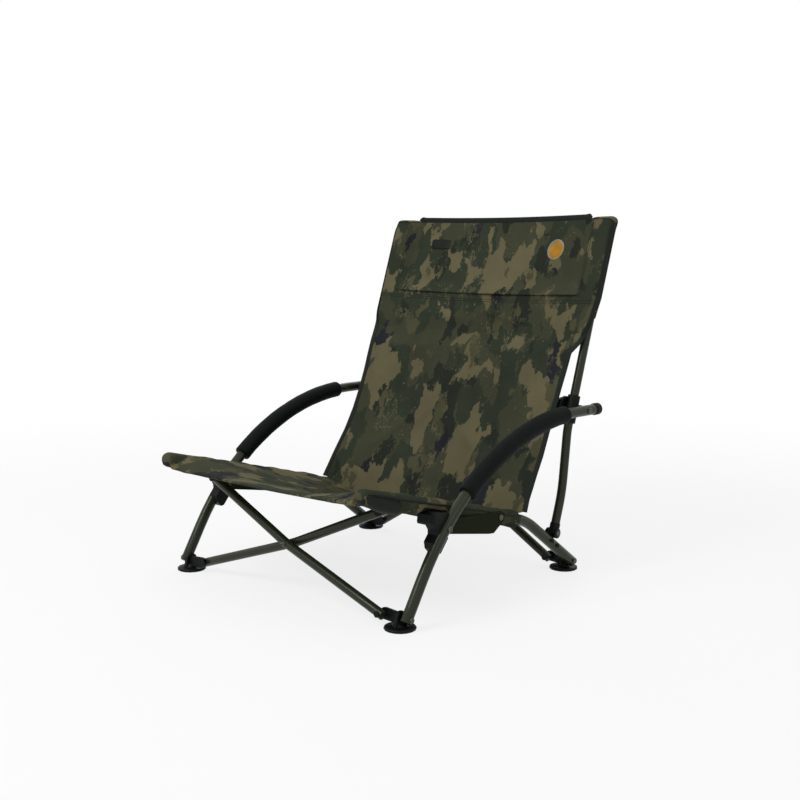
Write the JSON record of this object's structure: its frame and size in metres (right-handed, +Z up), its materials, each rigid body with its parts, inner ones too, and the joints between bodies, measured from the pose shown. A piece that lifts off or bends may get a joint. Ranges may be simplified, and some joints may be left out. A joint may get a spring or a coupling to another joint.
{
  "type": "folding chair",
  "caption": "Low folding chair with bent steel tube side frames, foam arm grips, crossed tubes front and rear and a camouflage cloth sling.",
  "frame": {"origin": "on the ground, under the middle of the open chair's box", "axes": "+X to the sitter's left, -Y the way the sitter faces, +Z up"},
  "size_m": [0.6024, 0.6766, 0.6548],
  "materials": {
    "tube_paint": "satin",
    "plate_paint": "satin",
    "black_plastic": "matte",
    "rivet_steel": "satin",
    "foam": "matte",
    "camo_cloth": "woven",
    "webbing": "woven"
  },
  "bodies": {
    "side_left": {"leg_arm_tube_left": "tube_paint", "arm_grip_left": "foam", "arm_end_cap_left": "black_plastic", "leg_hub_left": "black_plastic", "side_plate_left": "plate_paint", "hub_rivet_left": "rivet_steel", "plate_pin_left": "rivet_steel", "arm_rivet_left": "rivet_steel", "front_foot_pin_left": "rivet_steel"},
    "rail_left": {"seat_rail_left": "tube_paint", "rail_tip_plug_left": "black_plastic", "rail_collar_left": "black_plastic", "seat_loop_left": "webbing", "post_bracket_left": "plate_paint", "post_pin_left": "rivet_steel", "rear_foot_pin_left": "rivet_steel", "tip_pocket_left": "camo_cloth", "seat_panel": "camo_cloth"},
    "post_left": {"back_post_left": "tube_paint", "post_shoe_left": "black_plastic", "post_top_cap_left": "black_plastic", "back_panel": "camo_cloth", "head_panel": "camo_cloth"},
    "slider_left": {"arm_slider_left": "black_plastic"},
    "front_foot_left": {"front_foot_left": "black_plastic"},
    "rear_foot_left": {"rear_foot_left": "black_plastic"},
    "front_knuckle_left": {"front_knuckle_left": "black_plastic"},
    "rear_knuckle_left": {"rear_knuckle_left": "black_plastic"},
    "front_cross_left": {"front_cross_tube_left": "tube_paint", "front_cross_rivet": "rivet_steel"},
    "rear_cross_left": {"rear_cross_tube_left": "tube_paint", "rear_cross_rivet": "rivet_steel"},
    "side_right": {"leg_arm_tube_right": "tube_paint", "arm_grip_right": "foam", "arm_end_cap_right": "black_plastic", "leg_hub_right": "black_plastic", "side_plate_right": "plate_paint", "hub_rivet_right": "rivet_steel", "plate_pin_right": "rivet_steel", "arm_rivet_right": "rivet_steel", "front_foot_pin_right": "rivet_steel"},
    "rail_right": {"seat_rail_right": "tube_paint", "rail_tip_plug_right": "black_plastic", "rail_collar_right": "black_plastic", "seat_loop_right": "webbing", "post_bracket_right": "plate_paint", "post_pin_right": "rivet_steel", "rear_foot_pin_right": "rivet_steel", "tip_pocket_right": "camo_cloth"},
    "post_right": {"back_post_right": "tube_paint", "post_shoe_right": "black_plastic", "post_top_cap_right": "black_plastic"},
    "slider_right": {"arm_slider_right": "black_plastic"},
    "front_foot_right": {"front_foot_right": "black_plastic"},
    "rear_foot_right": {"rear_foot_right": "black_plastic"},
    "front_knuckle_right": {"front_knuckle_right": "black_plastic"},
    "rear_knuckle_right": {"rear_knuckle_right": "black_plastic"},
    "front_cross_right": {"front_cross_tube_right": "tube_paint"},
    "rear_cross_right": {"rear_cross_tube_right": "tube_paint"}
  },
  "joints": [
    {"name": "front_foot_left_hinge", "type": "hinge", "parent": "side_left", "child": "front_foot_left", "pos_m": [0.2745, -0.2666, 0.0185], "axis": [-1, 0, 0], "range_deg": [0, 31.94]},
    {"name": "frame_fold", "type": "hinge", "parent": "front_foot_left", "child": "front_cross_left", "pos_m": [0.226, -0.2666, 0.0185], "axis": [0, 0.9926, -0.1212], "range_deg": [0, 50], "deforming": ["seat_panel", "back_panel", "head_panel"]},
    {"name": "front_crossing_hinge", "type": "hinge", "parent": "front_cross_left", "child": "front_cross_right", "pos_m": [0, -0.2577, 0.09139], "axis": [0, -0.9926, 0.1212], "range_deg": [0, 100]},
    {"name": "front_foot_right_stud", "type": "hinge", "parent": "front_cross_right", "child": "front_foot_right", "pos_m": [-0.226, -0.2666, 0.0185], "axis": [0, 0.9926, -0.1212], "range_deg": [0, 50]},
    {"name": "front_foot_right_hinge", "type": "hinge", "parent": "front_foot_right", "child": "side_right", "pos_m": [-0.2745, -0.2666, 0.0185], "axis": [1, 0, 0], "range_deg": [0, 31.94]},
    {"name": "front_knuckle_right_stud", "type": "hinge", "parent": "front_cross_left", "child": "front_knuckle_right", "pos_m": [-0.19982, -0.24732, 0.1764], "axis": [0, -0.9926, 0.1212], "range_deg": [0, 50]},
    {"name": "front_knuckle_left_stud", "type": "hinge", "parent": "front_cross_right", "child": "front_knuckle_left", "pos_m": [0.19982, -0.24732, 0.1764], "axis": [0, 0.9926, -0.1212], "range_deg": [0, 50]},
    {"name": "rail_left_hinge", "type": "hinge", "parent": "side_left", "child": "rail_left", "pos_m": [0.25087, -0.0206, 0.13692], "axis": [-1, 0, 0], "range_deg": [0, 84.19]},
    {"name": "rear_foot_left_hinge", "type": "hinge", "parent": "rail_left", "child": "rear_foot_left", "pos_m": [0.261, 0.1994, 0.0185], "axis": [1, 0, 0], "range_deg": [0, 45.59]},
    {"name": "post_left_hinge", "type": "hinge", "parent": "rail_left", "child": "post_left", "pos_m": [0.257, 0.14979, 0.07815], "axis": [1, 0, 0], "range_deg": [0, 62.01]},
    {"name": "slider_left_slide", "type": "slide", "parent": "post_left", "child": "slider_left", "axis": [0, 0.319, 0.9478], "range_m": [0, 0.20191]},
    {"name": "rail_right_hinge", "type": "hinge", "parent": "side_right", "child": "rail_right", "pos_m": [-0.25087, -0.0206, 0.13692], "axis": [-1, 0, 0], "range_deg": [0, 84.19]},
    {"name": "rear_foot_right_hinge", "type": "hinge", "parent": "rail_right", "child": "rear_foot_right", "pos_m": [-0.261, 0.1994, 0.0185], "axis": [1, 0, 0], "range_deg": [0, 45.59]},
    {"name": "post_right_hinge", "type": "hinge", "parent": "rail_right", "child": "post_right", "pos_m": [-0.257, 0.14979, 0.07815], "axis": [1, 0, 0], "range_deg": [0, 62.01]},
    {"name": "slider_right_slide", "type": "slide", "parent": "post_right", "child": "slider_right", "axis": [0, 0.319, 0.9478], "range_m": [0, 0.20191]},
    {"name": "rear_foot_left_stud", "type": "hinge", "parent": "rear_foot_left", "child": "rear_cross_left", "pos_m": [0.215, 0.1994, 0.0185], "axis": [0, 1, -0.0049], "range_deg": [0, 41.12]},
    {"name": "rear_foot_right_stud", "type": "hinge", "parent": "rear_foot_right", "child": "rear_cross_right", "pos_m": [-0.215, 0.1994, 0.0185], "axis": [0, -1, 0.0049], "range_deg": [0, 41.12]},
    {"name": "rear_knuckle_right_stud", "type": "hinge", "parent": "rear_cross_left", "child": "rear_knuckle_right", "pos_m": [-0.215, 0.20066, 0.27381], "axis": [0, -1, 0.0049], "range_deg": [0, 41.12]},
    {"name": "rear_knuckle_left_stud", "type": "hinge", "parent": "rear_cross_right", "child": "rear_knuckle_left", "pos_m": [0.215, 0.20066, 0.27381], "axis": [0, 1, -0.0049], "range_deg": [0, 41.12]}
  ],
  "couplings": [
    {"joint": "front_foot_left_hinge", "follows": "frame_fold", "ratio": 0.6388},
    {"joint": "front_crossing_hinge", "follows": "frame_fold", "ratio": 2},
    {"joint": "front_foot_right_stud", "follows": "frame_fold", "ratio": 1},
    {"joint": "front_foot_right_hinge", "follows": "frame_fold", "ratio": 0.6388},
    {"joint": "front_knuckle_right_stud", "follows": "frame_fold", "ratio": 1},
    {"joint": "front_knuckle_left_stud", "follows": "frame_fold", "ratio": 1},
    {"joint": "rail_left_hinge", "follows": "frame_fold", "ratio": 1.6838},
    {"joint": "rear_foot_left_hinge", "follows": "frame_fold", "ratio": 0.9118},
    {"joint": "post_left_hinge", "follows": "frame_fold", "ratio": 1.2402},
    {"joint": "slider_left_slide", "follows": "frame_fold", "m_per_rad": 0.23137},
    {"joint": "rail_right_hinge", "follows": "frame_fold", "ratio": 1.6838},
    {"joint": "rear_foot_right_hinge", "follows": "frame_fold", "ratio": 0.9118},
    {"joint": "post_right_hinge", "follows": "frame_fold", "ratio": 1.2402},
    {"joint": "slider_right_slide", "follows": "frame_fold", "m_per_rad": 0.23137},
    {"joint": "rear_foot_left_stud", "follows": "frame_fold", "ratio": 0.8224},
    {"joint": "rear_foot_right_stud", "follows": "frame_fold", "ratio": 0.8224},
    {"joint": "rear_knuckle_right_stud", "follows": "frame_fold", "ratio": 0.8224},
    {"joint": "rear_knuckle_left_stud", "follows": "frame_fold", "ratio": 0.8224}
  ]
}
